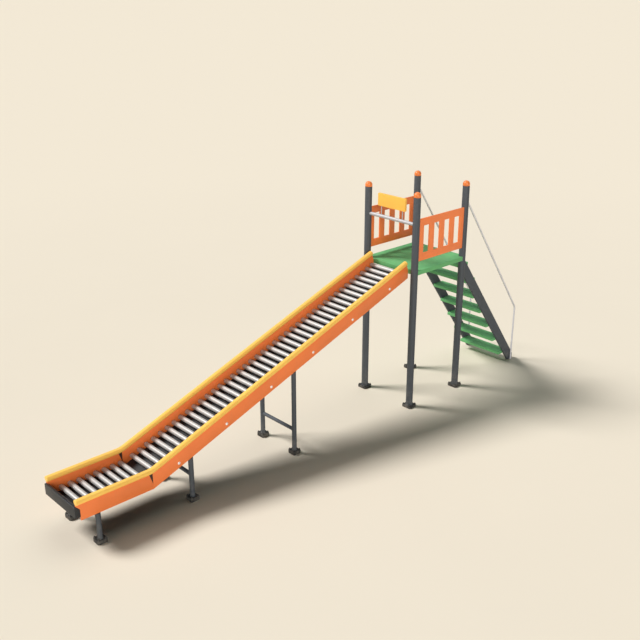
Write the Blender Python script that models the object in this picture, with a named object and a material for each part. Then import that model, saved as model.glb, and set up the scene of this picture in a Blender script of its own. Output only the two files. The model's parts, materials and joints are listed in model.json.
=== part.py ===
"""Roller slide with a four-post tower.

A plain deck stands on four round posts between two slotted guards. An open
stair with two handrails climbs to its back, and a straight incline of rollers
leaves its front and ends in a level run of rollers.

Metres, +Z up. The slide runs out towards -X, the stair comes down towards +X,
the near side is -Y and the far side is +Y. The origin is on the floor, under
the middle of the whole object. Places along X are given from the tower's
middle, which stands at TOWER_X.
"""
import math

import bmesh
import bpy
from mathutils import Matrix, Vector

# How far the whole object reaches from the tower's middle
EXIT_REACH = 5.680
STAIR_REACH = 2.000
TOWER_X = (EXIT_REACH - STAIR_REACH) / 2

# Gap that parts keep where they rest on or against each other
SEAT = 0.0003

# How far a cutter reaches past the faces that it cuts, and the fold that still shades smooth
CUT_MARGIN = 0.020
SMOOTH_ANGLE = math.radians(40)

# Tower posts
POST_X = 0.5095
POST_Y = 0.4436
POST_RADIUS = 0.0489
POST_TOP = 3.050
POST_SIDES = 24
POST_CUT_RADIUS = POST_RADIUS + 0.0004
BASE_SIDE = 0.148
BASE_THICKNESS = 0.036

# Round cap on each post
CAP_RADIUS = 0.050
CAP_SKIRT = 0.021
CAP_RINGS = 4

# Deck
DECK_TOP = 2.037
DECK_THICKNESS = 0.062
DECK_FRONT_X = -0.5150
DECK_BACK_X = 0.5475
DECK_HALF_WIDTH = 0.4816

# Guards on the two long sides of the deck
GUARD_BOTTOM = 2.165
GUARD_TOP = 2.753
GUARD_INNER_Y = POST_Y + 0.006
GUARD_THICKNESS = 0.018
SLOT_BOTTOM = 2.270
SLOT_TOP = 2.649
SLOT_WIDTH = 0.110
SLOT_PITCH = 0.213
SLOT_COUNT = 4
GUARD_END_STEPS = 3

# Bar over the slide's entry, and the board on its two rods
BAR_Z = 2.677
BAR_RADIUS = 0.024
BAR_SIDES = 16
BOARD_BOTTOM = 2.819
BOARD_TOP = 2.994
BOARD_HALF_WIDTH = 0.250
BOARD_THICKNESS = 0.033
ROD_Y = 0.193
ROD_RADIUS = 0.007
ROD_SIDES = 8

# Round tubes along the top of the slide's sides
TUBE_Y = 0.3242
TUBE_RADIUS = 0.0355
TUBE_SIDES = 14
TUBE_TOP_X = -0.555
TUBE_TOP_Z = 2.127
EXIT_TUBE_Z = 0.602
EXIT_END_X = -5.660
SLOPE = 0.3666
BEND_RADIUS = 0.30
BEND_STEPS = 4

# Side panels under the tubes
PANEL_THICKNESS = 0.020
PANEL_DEPTH = 0.2192
PANEL_TOP_END_X = DECK_FRONT_X - 0.0005
PANEL_JOINT_X = -4.709
PANEL_BEND_SPAN = 0.106
NOTCH_WIDTH = 0.045
NOTCH_BOTTOM = 0.437
NOTCH_DEPTH = 0.008
END_CUT_TOP = 0.555
END_CUT_BOTTOM = 0.507
END_CUT_X = -5.615

# Plate across the slide's exit
EXIT_PLATE_BOTTOM = 0.415
EXIT_PLATE_TOP = 0.550

# Flat trays under the rollers
TRAY_DEPTH = 0.203
TRAY_THICKNESS = 0.006
TRAY_JOINT_X = -4.678

# Rollers
ROLLER_DEPTH = 0.153
ROLLER_RADIUS = 0.0295
ROLLER_SIDES = 12
ROLLER_PITCH = 0.1071
ROLLER_END_GAP = 0.005
EXIT_ROLLERS = 8
EXIT_ROLLER_X = -5.5015
INCLINE_ROLLERS = 41
TURNING_INCLINE_ROLLERS = 15
INCLINE_ROLLER_X = -4.5875
STUB_RADIUS = 0.010
BORE_RADIUS = 0.0107
BORE_DEPTH = 0.012
STUB_END_GAP = 0.0005
BED_RAIL_HEIGHT = 0.034
BED_RAIL_THICKNESS = 0.004

# Legs under the slide: name, place along X and height of the crossbar
LEG_FRAMES = (
    ("leg_frame_exit", -5.412, 0.340),
    ("leg_frame_knee", -4.185, 0.338),
    ("leg_frame_middle", -2.586, 0.338),
)
LEG_Y = 0.3176
LEG_RADIUS = 0.0304
LEG_SIDES = 16
CROSSBAR_RADIUS = 0.0235
CROSSBAR_SIDES = 12
FOOT_SIDE = 0.120
FOOT_THICKNESS = 0.048

# Stair
STRINGER_Y = 0.3826
STRINGER_THICKNESS = 0.034
STRINGER_TOP_X = 0.5508
STRINGER_EDGE_X = 0.5095
STRINGER_EDGE_Z = 2.0933
STRINGER_HEIGHT = 0.2442
STAIR_SLOPE = 1.3492
TREAD_COUNT = 7
TREAD_THICKNESS = 0.045
TREAD_DEPTH = 0.210
TREAD_FIRST_TOP = 0.176
TREAD_RISE = 0.284
TREAD_FIRST_X = 1.674
TREAD_RUN = 0.1908

# Handrails
RAIL_RADIUS = 0.0135
RAIL_SIDES = 12
RAIL_START_X = 0.530
RAIL_KNEE_X = 1.9406
RAIL_KNEE_Z = 0.891
RAIL_SLOPE = 1.4089
RAIL_BEND_RADIUS = 0.080
RAIL_BEND_STEPS = 4

INCLINE_ANGLE = math.atan(SLOPE)
TUBE_KNEE_X = TUBE_TOP_X - (TUBE_TOP_Z - EXIT_TUBE_Z) / SLOPE
PANEL_INNER_Y = TUBE_Y - PANEL_THICKNESS / 2
PANEL_OUTER_Y = TUBE_Y + PANEL_THICKNESS / 2
PANEL_GAP = TUBE_RADIUS + SEAT
EXIT_PANEL_TOP = EXIT_TUBE_Z - PANEL_GAP
INNER_HALF_WIDTH = PANEL_INNER_Y - SEAT
SIDES = (("near", -1), ("far", 1))
TOWER_MIDDLE = "tower_middle"


def clear_scene():
    for obj in list(bpy.data.objects):
        bpy.data.objects.remove(obj, do_unlink=True)


def make_material(name, colour, roughness, metallic=0.0):
    material = bpy.data.materials.new(name)
    material.use_nodes = True
    shader = material.node_tree.nodes["Principled BSDF"]
    shader.inputs["Base Color"].default_value = (*colour, 1.0)
    shader.inputs["Roughness"].default_value = roughness
    shader.inputs["Metallic"].default_value = metallic
    return material


def add_object(name, shape, material=None, smooth=False, location=(0, 0, 0)):
    """Makes a named object from a bmesh and hangs it on the tower's middle."""
    bmesh.ops.recalc_face_normals(shape, faces=shape.faces)
    mesh = bpy.data.meshes.new(name)
    shape.to_mesh(mesh)
    shape.free()
    if smooth:
        mesh.shade_smooth()
        mesh.set_sharp_from_angle(angle=SMOOTH_ANGLE)
    obj = bpy.data.objects.new(name, mesh)
    bpy.context.scene.collection.objects.link(obj)
    obj.parent = bpy.data.objects[TOWER_MIDDLE]
    obj.location = location
    if material:
        mesh.materials.append(material)
    return obj


def combine(obj, name, shape, operation):
    """Joins a second shape to an object, or cuts it out, with a Boolean."""
    helper = add_object(name, shape)
    helper.hide_render = True
    helper.display_type = "WIRE"
    modifier = obj.modifiers.new(name, "BOOLEAN")
    modifier.operation = operation
    modifier.solver = "EXACT"
    modifier.object = helper


def add_block(shape, x, y, z):
    """A box between two values of x, y and z."""
    size = Vector((x[1] - x[0], y[1] - y[0], z[1] - z[0]))
    middle = Vector((x[0] + x[1], y[0] + y[1], z[0] + z[1])) / 2
    place = Matrix.Translation(middle) @ Matrix.Diagonal((*size, 1.0))
    bmesh.ops.create_cube(shape, size=1.0, matrix=place)


def add_prism(shape, outline, span, along):
    """An outline raised along Y (points are x, z) or along Z (points are x, y)."""
    if along == "Y":
        points = [(u, span[0], v) for u, v in outline]
        step = (0, span[1] - span[0], 0)
    else:
        points = [(u, v, span[0]) for u, v in outline]
        step = (0, 0, span[1] - span[0])
    face = shape.faces.new([shape.verts.new(point) for point in points])
    raised = bmesh.ops.extrude_face_region(shape, geom=[face], use_keep_orig=True)
    verts = [item for item in raised["geom"] if isinstance(item, bmesh.types.BMVert)]
    bmesh.ops.translate(shape, verts=verts, vec=step)


def add_rod(shape, start, end, radius, sides):
    """A round bar between two points, and its vertices."""
    start = Vector(start)
    run = Vector(end) - start
    turn = run.to_track_quat("Z", "Y").to_matrix().to_4x4()
    made = bmesh.ops.create_cone(
        shape,
        cap_ends=True,
        segments=sides,
        radius1=radius,
        radius2=radius,
        depth=run.length,
        matrix=Matrix.Translation(start + run / 2) @ turn,
    )
    return made["verts"]


def add_turned(shape, profile, sides, axis):
    """A solid turned about Z or Y from (radius, place along the axis) points."""
    rings = []
    for radius, along in profile:
        count = sides if radius else 1
        ring = []
        for index in range(count):
            angle = math.tau * index / sides
            u = radius * math.cos(angle)
            v = radius * math.sin(angle)
            point = (u, v, along) if axis == "Z" else (u, along, v)
            ring.append(shape.verts.new(point))
        rings.append(ring)
    for low, high in zip(rings, rings[1:]):
        for index in range(sides):
            after = (index + 1) % sides
            corners = [low[index % len(low)], low[after % len(low)]]
            corners += [high[after % len(high)], high[index % len(high)]]
            shape.faces.new(dict.fromkeys(corners))
    for ring in (rings[0], rings[-1]):
        if len(ring) > 1:
            shape.faces.new(ring)


def add_bent_tube(shape, path, y, radius, sides):
    """A round tube along a path of (x, z) points in the plane at y."""
    points = [Vector((x, y, z)) for x, z in path]
    runs = [(after - before).normalized() for before, after in zip(points, points[1:])]
    rings = []
    for index, point in enumerate(points):
        before = runs[max(index - 1, 0)]
        after = runs[min(index, len(runs) - 1)]
        heading = (before + after).normalized()
        stretch = radius / heading.dot(after)
        across = Vector((0, 1, 0))
        upward = heading.cross(across)
        ring = []
        for side in range(sides):
            angle = math.tau * side / sides
            offset = across * radius * math.sin(angle) + upward * stretch * math.cos(angle)
            ring.append(shape.verts.new(point + offset))
        rings.append(ring)
    for low, high in zip(rings, rings[1:]):
        for side in range(sides):
            after = (side + 1) % sides
            shape.faces.new((low[side], low[after], high[after], high[side]))
    shape.faces.new(rings[0])
    shape.faces.new(rings[-1])


def bend(start, corner, end, radius, steps):
    """Points of a path from start to end, rounded at its corner."""
    start, corner, end = Vector(start), Vector(corner), Vector(end)
    back = (start - corner).normalized()
    onward = (end - corner).normalized()
    half = back.angle(onward) / 2
    reach = radius / math.tan(half)
    centre = corner + (back + onward).normalized() * radius / math.sin(half)
    first = corner + back * reach - centre
    last = corner + onward * reach - centre
    sweep = first.angle(last)
    path = [start]
    for step in range(steps + 1):
        share = step / steps
        spoke = first * math.sin((1 - share) * sweep) + last * math.sin(share * sweep)
        path.append(centre + spoke / math.sin(sweep))
    return path + [end]


def tube_line(x):
    """Height of the incline's tube centre line."""
    return TUBE_TOP_Z + SLOPE * (x - TUBE_TOP_X)


def below_incline(x, depth):
    """Height of a line that lies a square depth under the tube's centre line."""
    return tube_line(x) - depth / math.cos(INCLINE_ANGLE)


def arc_points(centre, radius, start, end, steps):
    """Points on an arc, from one angle to another."""
    points = []
    for step in range(steps + 1):
        angle = start + (end - start) * step / steps
        u = centre[0] + radius * math.cos(angle)
        v = centre[1] + radius * math.sin(angle)
        points.append((u, v))
    return points


def near_angle(angle, target):
    """The same direction as an angle, at most half a turn from the target."""
    return target + (angle - target + math.pi) % math.tau - math.pi


def post_cutter(x):
    """A pair of rods that clear the two posts at x, for what ends against them."""
    cutter = bmesh.new()
    for y in (-POST_Y, POST_Y):
        add_rod(cutter, (x, y, DECK_TOP), (x, y, POST_TOP), POST_CUT_RADIUS, POST_SIDES)
    return cutter


def make_posts(steel, orange):
    corners = {"front": -POST_X, "back": POST_X}
    for end, x in corners.items():
        for side, sign in SIDES:
            y = sign * POST_Y
            shape = bmesh.new()
            add_rod(shape, (0, 0, BASE_THICKNESS / 2), (0, 0, POST_TOP), POST_RADIUS, POST_SIDES)
            name = f"post_{end}_{side}"
            post = add_object(name, shape, steel, smooth=True, location=(x, y, 0))
            plate = bmesh.new()
            half = BASE_SIDE / 2
            add_block(plate, (x - half, x + half), (y - half, y + half), (0, BASE_THICKNESS))
            combine(post, f"{name}_base", plate, "UNION")

            skirt_top = POST_TOP + CAP_SKIRT
            profile = [(CAP_RADIUS, POST_TOP + SEAT)]
            for ring in range(CAP_RINGS):
                angle = math.pi / 2 * ring / CAP_RINGS
                profile.append((CAP_RADIUS * math.cos(angle), skirt_top + CAP_RADIUS * math.sin(angle)))
            profile.append((0, skirt_top + CAP_RADIUS))
            shape = bmesh.new()
            add_turned(shape, profile, POST_SIDES, "Z")
            add_object(f"cap_{end}_{side}", shape, orange, smooth=True, location=(x, y, 0))


def deck_corner(x_sign, y_sign):
    """The arc that clears a post, from the deck's end edge to its long edge."""
    edge_x = DECK_BACK_X if x_sign > 0 else DECK_FRONT_X
    to_end = edge_x - x_sign * POST_X
    to_side = y_sign * (DECK_HALF_WIDTH - POST_Y)
    reach = POST_CUT_RADIUS
    inward = math.atan2(-y_sign, -x_sign)
    start = math.atan2(-y_sign * math.sqrt(reach**2 - to_end**2), to_end)
    end = math.atan2(to_side, -x_sign * math.sqrt(reach**2 - to_side**2))
    start = near_angle(start, inward)
    end = near_angle(end, inward)
    return arc_points((x_sign * POST_X, y_sign * POST_Y), reach, start, end, POST_SIDES)


def make_deck(green):
    outline = deck_corner(-1, 1)
    outline += reversed(deck_corner(1, 1))
    outline += deck_corner(1, -1)
    outline += reversed(deck_corner(-1, -1))
    shape = bmesh.new()
    add_prism(shape, outline, (DECK_TOP - DECK_THICKNESS, DECK_TOP), "Z")
    add_object("deck", shape, green)


def make_guards(orange):
    inner = GUARD_INNER_Y - POST_Y
    outer = inner + GUARD_THICKNESS
    low = math.asin(inner / POST_CUT_RADIUS)
    high = math.asin(outer / POST_CUT_RADIUS)
    for side, sign in SIDES:
        left = arc_points((-POST_X, POST_Y), POST_CUT_RADIUS, low, high, GUARD_END_STEPS)
        outline = left + [(-x, y) for x, y in reversed(left)]
        outline = [(x, sign * y) for x, y in outline]
        shape = bmesh.new()
        add_prism(shape, outline, (GUARD_BOTTOM, GUARD_TOP), "Z")
        guard = add_object(f"guard_{side}", shape, orange)
        slots = bmesh.new()
        inside = GUARD_INNER_Y - CUT_MARGIN
        outside = GUARD_INNER_Y + GUARD_THICKNESS + CUT_MARGIN
        across = sorted((sign * inside, sign * outside))
        for index in range(SLOT_COUNT):
            middle = (index - (SLOT_COUNT - 1) / 2) * SLOT_PITCH
            span = (middle - SLOT_WIDTH / 2, middle + SLOT_WIDTH / 2)
            add_block(slots, span, across, (SLOT_BOTTOM, SLOT_TOP))
        combine(guard, f"guard_slots_{side}", slots, "DIFFERENCE")


def make_entry_bar(steel, yellow):
    shape = bmesh.new()
    add_rod(shape, (-POST_X, -POST_Y, BAR_Z), (-POST_X, POST_Y, BAR_Z), BAR_RADIUS, BAR_SIDES)
    bar = add_object("entry_bar", shape, steel, smooth=True)
    rods = bmesh.new()
    for y in (-ROD_Y, ROD_Y):
        foot = (-POST_X, y, BAR_Z)
        head = (-POST_X, y, BOARD_BOTTOM - SEAT)
        add_rod(rods, foot, head, ROD_RADIUS, ROD_SIDES)
    combine(bar, "entry_bar_rods", rods, "UNION")
    combine(bar, "entry_bar_ends", post_cutter(-POST_X), "DIFFERENCE")

    shape = bmesh.new()
    half = BOARD_THICKNESS / 2
    width = (-BOARD_HALF_WIDTH, BOARD_HALF_WIDTH)
    add_block(shape, (-POST_X - half, -POST_X + half), width, (BOARD_BOTTOM, BOARD_TOP))
    add_object("sign_board", shape, yellow)


def make_top_tubes(yellow):
    start = (TUBE_TOP_X, TUBE_TOP_Z)
    corner = (TUBE_KNEE_X, EXIT_TUBE_Z)
    path = bend(start, corner, (EXIT_END_X, EXIT_TUBE_Z), BEND_RADIUS, BEND_STEPS)
    for side, sign in SIDES:
        shape = bmesh.new()
        add_bent_tube(shape, path, sign * TUBE_Y, TUBE_RADIUS, TUBE_SIDES)
        add_object(f"top_tube_{side}", shape, yellow, smooth=True)


def roller_axes():
    """(name, x, z) of each roller that turns, and (x, z) of those that don't."""
    turning = []
    for index in range(EXIT_ROLLERS):
        x = EXIT_ROLLER_X + index * ROLLER_PITCH
        turning.append((f"exit_roller_{index + 1}", x, EXIT_TUBE_Z - ROLLER_DEPTH))
    fixed = []
    step = ROLLER_PITCH * math.cos(INCLINE_ANGLE)
    for index in range(INCLINE_ROLLERS):
        x = INCLINE_ROLLER_X + index * step
        z = below_incline(x, ROLLER_DEPTH)
        if index < TURNING_INCLINE_ROLLERS:
            turning.append((f"incline_roller_{index + 1}", x, z))
        else:
            fixed.append((x, z))
    return turning, fixed


def cut_bores(panel, sign, axes):
    bores = bmesh.new()
    for x, z in axes:
        start = (x, sign * (PANEL_INNER_Y - CUT_MARGIN), z)
        end = (x, sign * (PANEL_INNER_Y + BORE_DEPTH), z)
        add_rod(bores, start, end, BORE_RADIUS, ROLLER_SIDES)
    combine(panel, f"{panel.name}_bores", bores, "DIFFERENCE")


def incline_panel_outline():
    """Square to the tube at its top end, and lower under the tube's bend at the knee."""
    square_x = TUBE_TOP_X + PANEL_GAP * math.sin(INCLINE_ANGLE)
    square_z = TUBE_TOP_Z - PANEL_GAP * math.cos(INCLINE_ANGLE)
    end = PANEL_TOP_END_X
    joint = PANEL_JOINT_X + SEAT
    bend_end = TUBE_KNEE_X + PANEL_BEND_SPAN
    return [
        (square_x, square_z),
        (end, square_z - (end - square_x) / SLOPE),
        (end, below_incline(end, PANEL_DEPTH)),
        (joint, below_incline(joint, PANEL_DEPTH)),
        (joint, EXIT_PANEL_TOP),
        (bend_end, below_incline(bend_end, PANEL_GAP)),
    ]


def exit_panel_outline():
    """Level, with a slanted cut over the exit plate."""
    floor = below_incline(PANEL_JOINT_X, PANEL_DEPTH)
    return [
        (PANEL_JOINT_X, EXIT_PANEL_TOP),
        (PANEL_JOINT_X, floor),
        (END_CUT_X, floor),
        (END_CUT_X, END_CUT_BOTTOM),
        (EXIT_END_X, END_CUT_TOP),
        (EXIT_END_X, EXIT_PANEL_TOP),
    ]


def cut_notches(panel, sign):
    """A shallow wedge in each face of an exit panel, where it meets the incline's panel."""
    widening = NOTCH_WIDTH / (EXIT_PANEL_TOP - NOTCH_BOTTOM)
    past_joint = PANEL_JOINT_X + CUT_MARGIN
    outline = [
        (PANEL_JOINT_X, NOTCH_BOTTOM),
        (past_joint, NOTCH_BOTTOM),
        (past_joint, EXIT_TUBE_Z),
        (PANEL_JOINT_X - widening * (EXIT_TUBE_Z - NOTCH_BOTTOM), EXIT_TUBE_Z),
    ]
    notches = bmesh.new()
    for face, out in ((PANEL_INNER_Y, -1), (PANEL_OUTER_Y, 1)):
        bottom = face - out * NOTCH_DEPTH
        clear = face + out * CUT_MARGIN
        add_prism(notches, outline, sorted((sign * bottom, sign * clear)), "Y")
    combine(panel, f"{panel.name}_notches", notches, "DIFFERENCE")


def make_panels(orange, turning):
    for side, sign in SIDES:
        span = sorted((sign * PANEL_INNER_Y, sign * PANEL_OUTER_Y))
        shape = bmesh.new()
        add_prism(shape, incline_panel_outline(), span, "Y")
        panel = add_object(f"incline_panel_{side}", shape, orange)
        cut_bores(panel, sign, [(x, z) for name, x, z in turning if name.startswith("incline")])

        shape = bmesh.new()
        add_prism(shape, exit_panel_outline(), span, "Y")
        panel = add_object(f"exit_panel_{side}", shape, orange)
        cut_bores(panel, sign, [(x, z) for name, x, z in turning if name.startswith("exit")])
        cut_notches(panel, sign)


def make_exit_plate(dark):
    run = END_CUT_X - EXIT_END_X
    fall = END_CUT_TOP - END_CUT_BOTTOM
    rear = END_CUT_X - SEAT
    corner_z = END_CUT_BOTTOM - SEAT * fall / run - SEAT
    outline = [
        (-EXIT_REACH, EXIT_PLATE_BOTTOM),
        (rear, EXIT_PLATE_BOTTOM),
        (rear, corner_z),
        (rear - (EXIT_PLATE_TOP - corner_z) * run / fall, EXIT_PLATE_TOP),
        (-EXIT_REACH, EXIT_PLATE_TOP),
    ]
    shape = bmesh.new()
    add_prism(shape, outline, (-PANEL_OUTER_Y, PANEL_OUTER_Y), "Y")
    add_object("exit_plate", shape, dark)


def make_trays(dark):
    span = (-INNER_HALF_WIDTH, INNER_HALF_WIDTH)
    low, high = TRAY_JOINT_X + SEAT, PANEL_TOP_END_X
    under = TRAY_DEPTH + TRAY_THICKNESS
    outline = [
        (low, below_incline(low, TRAY_DEPTH)),
        (high, below_incline(high, TRAY_DEPTH)),
        (high, below_incline(high, under)),
        (low, below_incline(low, under)),
    ]
    shape = bmesh.new()
    add_prism(shape, outline, span, "Y")
    add_object("incline_tray", shape, dark)
    shape = bmesh.new()
    heights = (EXIT_TUBE_Z - under, EXIT_TUBE_Z - TRAY_DEPTH)
    add_block(shape, (END_CUT_X, TRAY_JOINT_X), span, heights)
    add_object("exit_tray", shape, dark)


def add_roller(shape, stub_end):
    """A drum with a stub axle at each end, about the Y axis."""
    drum_end = PANEL_INNER_Y - ROLLER_END_GAP
    profile = [
        (STUB_RADIUS, -stub_end),
        (STUB_RADIUS, -drum_end),
        (ROLLER_RADIUS, -drum_end),
        (ROLLER_RADIUS, drum_end),
        (STUB_RADIUS, drum_end),
        (STUB_RADIUS, stub_end),
    ]
    add_turned(shape, profile, ROLLER_SIDES, "Y")


def make_rollers(steel, turning):
    for name, x, z in turning:
        shape = bmesh.new()
        add_roller(shape, PANEL_INNER_Y + BORE_DEPTH - STUB_END_GAP)
        add_object(name, shape, steel, smooth=True, location=(x, 0, z))


def make_roller_bed(steel, fixed):
    """The rollers past the limit, joined by a slim bearing rail along each panel."""
    margin = ROLLER_PITCH / 3
    low, high = fixed[0][0] - margin, fixed[-1][0] + ROLLER_RADIUS
    above = ROLLER_DEPTH - BED_RAIL_HEIGHT / 2
    below = ROLLER_DEPTH + BED_RAIL_HEIGHT / 2
    outline = [
        (low, below_incline(low, below)),
        (high, below_incline(high, below)),
        (high, below_incline(high, above)),
        (low, below_incline(low, above)),
    ]
    inner = INNER_HALF_WIDTH - BED_RAIL_THICKNESS
    shape = bmesh.new()
    for sign in (-1, 1):
        add_prism(shape, outline, sorted((sign * inner, sign * INNER_HALF_WIDTH)), "Y")
    bed = add_object("incline_roller_bed", shape, steel, smooth=True)
    rollers = bmesh.new()
    for x, z in fixed:
        before = set(rollers.verts)
        add_roller(rollers, INNER_HALF_WIDTH - BED_RAIL_THICKNESS / 2)
        made = [vert for vert in rollers.verts if vert not in before]
        bmesh.ops.translate(rollers, verts=made, vec=(x, 0, z))
    combine(bed, "incline_roller_bed_drums", rollers, "UNION")


def panel_underside(x):
    """Height of the side panels' lower edge, level past the knee."""
    return below_incline(max(x, PANEL_JOINT_X), PANEL_DEPTH)


def make_leg_frames(steel):
    for name, x, bar_z in LEG_FRAMES:
        shape = bmesh.new()
        for sign in (-1, 1):
            y = sign * LEG_Y
            foot = (x, y, FOOT_THICKNESS / 2)
            head = (x, y, panel_underside(x))
            for vert in add_rod(shape, foot, head, LEG_RADIUS, LEG_SIDES):
                if vert.co.z > bar_z:
                    vert.co.z = panel_underside(vert.co.x) - SEAT
        frame = add_object(name, shape, steel, smooth=True)
        crossbar = bmesh.new()
        add_rod(crossbar, (x, -LEG_Y, bar_z), (x, LEG_Y, bar_z), CROSSBAR_RADIUS, CROSSBAR_SIDES)
        combine(frame, f"{name}_crossbar", crossbar, "UNION")
        feet = bmesh.new()
        half = FOOT_SIDE / 2
        for sign in (-1, 1):
            across = (sign * LEG_Y - half, sign * LEG_Y + half)
            add_block(feet, (x - half, x + half), across, (0, FOOT_THICKNESS))
        combine(frame, f"{name}_feet", feet, "UNION")


def stringer_edge(x):
    """Height of the stringer's top edge."""
    return STRINGER_EDGE_Z - STAIR_SLOPE * (x - STRINGER_EDGE_X)


def make_stair(steel, green):
    lower = STRINGER_EDGE_X + (STRINGER_EDGE_Z - STRINGER_HEIGHT) / STAIR_SLOPE
    outline = [
        (STRINGER_TOP_X, stringer_edge(STRINGER_TOP_X)),
        (STAIR_REACH, stringer_edge(STAIR_REACH)),
        (STAIR_REACH, 0),
        (lower, 0),
        (STRINGER_TOP_X, stringer_edge(STRINGER_TOP_X) - STRINGER_HEIGHT),
    ]
    for side, sign in SIDES:
        span = sorted((sign * STRINGER_Y, sign * (STRINGER_Y + STRINGER_THICKNESS)))
        shape = bmesh.new()
        add_prism(shape, outline, span, "Y")
        add_object(f"stringer_{side}", shape, steel)
    half = STRINGER_Y - SEAT
    for index in range(TREAD_COUNT):
        x = TREAD_FIRST_X - index * TREAD_RUN
        top = TREAD_FIRST_TOP + index * TREAD_RISE
        shape = bmesh.new()
        add_block(shape, (x, x + TREAD_DEPTH), (-half, half), (top - TREAD_THICKNESS, top))
        add_object(f"tread_{index + 1}", shape, green)


def make_handrails(steel):
    start = (RAIL_START_X, RAIL_KNEE_Z + (RAIL_KNEE_X - RAIL_START_X) * RAIL_SLOPE)
    knee = (RAIL_KNEE_X, RAIL_KNEE_Z)
    path = bend(start, knee, (RAIL_KNEE_X, 0), RAIL_BEND_RADIUS, RAIL_BEND_STEPS)
    rail_y = STRINGER_Y + STRINGER_THICKNESS + SEAT + RAIL_RADIUS
    for side, sign in SIDES:
        shape = bmesh.new()
        add_bent_tube(shape, path, sign * rail_y, RAIL_RADIUS, RAIL_SIDES)
        rail = add_object(f"handrail_{side}", shape, steel, smooth=True)
        combine(rail, f"handrail_{side}_end", post_cutter(POST_X), "DIFFERENCE")


def main():
    clear_scene()
    middle = bpy.data.objects.new(TOWER_MIDDLE, None)
    bpy.context.scene.collection.objects.link(middle)
    middle.location = (TOWER_X, 0, 0)

    dark_steel = make_material("dark_painted_steel", (0.065, 0.072, 0.078), 0.45)
    black_plate = make_material("dark_plate", (0.050, 0.052, 0.052), 0.55)
    orange = make_material("orange_panel", (0.78, 0.19, 0.05), 0.45)
    yellow = make_material("yellow_paint", (0.93, 0.52, 0.08), 0.35)
    green = make_material("green_deck", (0.10, 0.36, 0.14), 0.60)
    bright_steel = make_material("bright_steel", (0.72, 0.71, 0.70), 0.30, 1.0)

    turning, fixed = roller_axes()
    make_posts(dark_steel, orange)
    make_deck(green)
    make_guards(orange)
    make_entry_bar(bright_steel, yellow)
    make_top_tubes(yellow)
    make_panels(orange, turning)
    make_exit_plate(black_plate)
    make_trays(black_plate)
    make_rollers(bright_steel, turning)
    make_roller_bed(bright_steel, fixed)
    make_leg_frames(dark_steel)
    make_stair(dark_steel, green)
    make_handrails(bright_steel)


main()
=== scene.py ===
"""Roller slide with a four-post tower: the look of every piece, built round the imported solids.

Metres, +Z up. The slide runs out towards -X, the stair comes down towards +X, the near side is
-Y and the far side is +Y. Sizes come from the solids where they hold them.
"""
import json
import math

import bpy
from mathutils import Matrix, Vector

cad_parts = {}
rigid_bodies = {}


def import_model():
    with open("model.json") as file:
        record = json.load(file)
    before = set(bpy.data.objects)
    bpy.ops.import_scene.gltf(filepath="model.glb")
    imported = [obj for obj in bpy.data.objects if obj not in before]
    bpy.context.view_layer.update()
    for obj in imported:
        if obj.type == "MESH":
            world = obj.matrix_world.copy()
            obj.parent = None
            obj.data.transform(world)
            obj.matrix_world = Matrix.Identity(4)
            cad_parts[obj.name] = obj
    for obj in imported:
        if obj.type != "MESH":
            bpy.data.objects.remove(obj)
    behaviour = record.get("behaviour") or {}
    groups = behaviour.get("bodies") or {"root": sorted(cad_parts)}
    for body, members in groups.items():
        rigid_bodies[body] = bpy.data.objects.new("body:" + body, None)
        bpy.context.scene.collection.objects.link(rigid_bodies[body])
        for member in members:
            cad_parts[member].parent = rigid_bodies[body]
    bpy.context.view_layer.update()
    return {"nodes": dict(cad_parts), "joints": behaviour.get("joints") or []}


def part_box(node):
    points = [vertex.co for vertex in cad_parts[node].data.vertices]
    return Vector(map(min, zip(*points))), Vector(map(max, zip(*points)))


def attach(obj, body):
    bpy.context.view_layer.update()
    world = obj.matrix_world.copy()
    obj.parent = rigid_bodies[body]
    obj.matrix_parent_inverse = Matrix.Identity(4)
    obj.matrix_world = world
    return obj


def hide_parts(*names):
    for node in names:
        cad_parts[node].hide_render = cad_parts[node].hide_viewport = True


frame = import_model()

bl_info = {
    "name": "Roller slide",
    "version": (1, 0, 0),
    "blender": (4, 5, 0),
    "location": "View3D > Sidebar > Roller slide",
    "description": "Models and paints a playground roller slide round its packed solids",
    "category": "Object",
}

BODY = "slide"
SIDES = {"near": -1, "far": 1}
POST_PLACES = [f"{end}_{side}" for end in ("front", "back") for side in SIDES]
LEG_FRAMES = ("leg_frame_exit", "leg_frame_knee", "leg_frame_middle")
EXIT_ROLLERS = [name for name in frame["nodes"] if name.startswith("exit_roller_")]
TURNING_ROLLERS = [name for name in frame["nodes"] if name.startswith("incline_roller_")]
TURNING_ROLLERS.remove("incline_roller_bed")
TREADS = [name for name in frame["nodes"] if name.startswith("tread_")]
JOINT_OF = {joint["child"]: Vector(joint["pos_m"]) for joint in frame["joints"]}


def node_size(name):
    """Width, depth and height of a solid."""
    low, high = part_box(name)
    return high - low


def node_middle(name):
    """The middle of a solid's box."""
    low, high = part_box(name)
    return (low + high) / 2


def leg_middles(node):
    """The side, sign and middle on the floor of each leg in a frame, whose feet are square."""
    low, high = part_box(node)
    half = (high.x - low.x) / 2
    ends = {"near": low.y + half, "far": high.y - half}
    return [(side, sign, Vector((low.x + half, ends[side], 0))) for side, sign in SIDES.items()]


# Line of the incline, from the axes of its first and last turning rollers
LOW_AXIS = JOINT_OF["roller_i1"]
HIGH_AXIS = JOINT_OF["roller_i15"]
INCLINE = (HIGH_AXIS - LOW_AXIS).normalized()
INCLINE_NORMAL = Vector((-INCLINE.z, 0, INCLINE.x))
ROLLER_STEP = (HIGH_AXIS - LOW_AXIS) / (len(TURNING_ROLLERS) - 1)
INCLINE_ROLLER_COUNT = 41

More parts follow.
